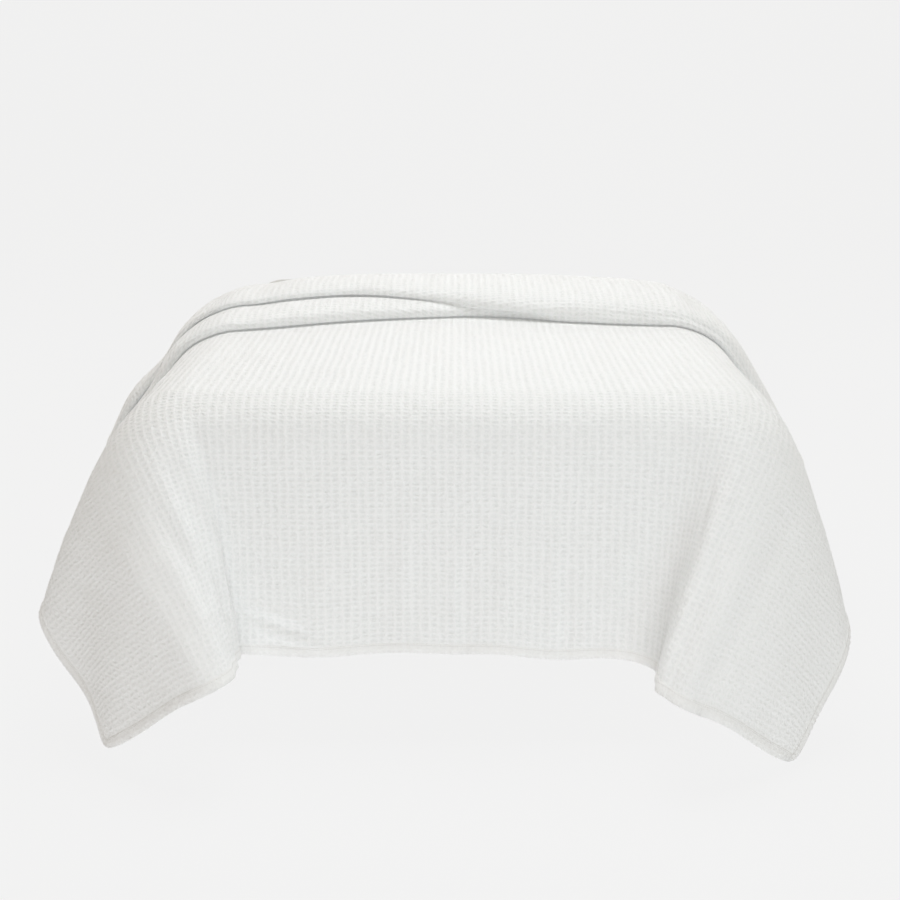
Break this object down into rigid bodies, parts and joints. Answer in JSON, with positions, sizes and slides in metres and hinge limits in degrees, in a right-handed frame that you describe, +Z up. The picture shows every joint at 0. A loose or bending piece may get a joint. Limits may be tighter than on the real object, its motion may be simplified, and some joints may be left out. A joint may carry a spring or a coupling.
{
  "type": "waffle weave cotton blanket on a plain double bed",
  "caption": "Waffle weave cotton blanket draped over a plain double bed, folded back in soft rolls near the head.",
  "frame": {"origin": "on the floor, in the middle of the centre leg's foot", "axes": "+Z up; +Y from the foot of the bed towards its head; +X to the right, seen from the foot"},
  "size_m": [1.9483, 2.1626, 0.8911],
  "materials": {
    "blanket_cotton": "matte white waffle weave cotton",
    "mattress_cover": "plain off-white knitted cover",
    "base_cover": "plain warm grey upholstery",
    "leg_wood": "satin oiled wood"
  },
  "bodies": {
    "root": {"blanket": "blanket_cotton", "mattress": "mattress_cover", "bed_base": "base_cover", "leg_centre": "leg_wood", "leg_foot_left": "leg_wood", "leg_foot_right": "leg_wood", "leg_head_left": "leg_wood", "leg_head_right": "leg_wood"}
  },
  "joints": []
}
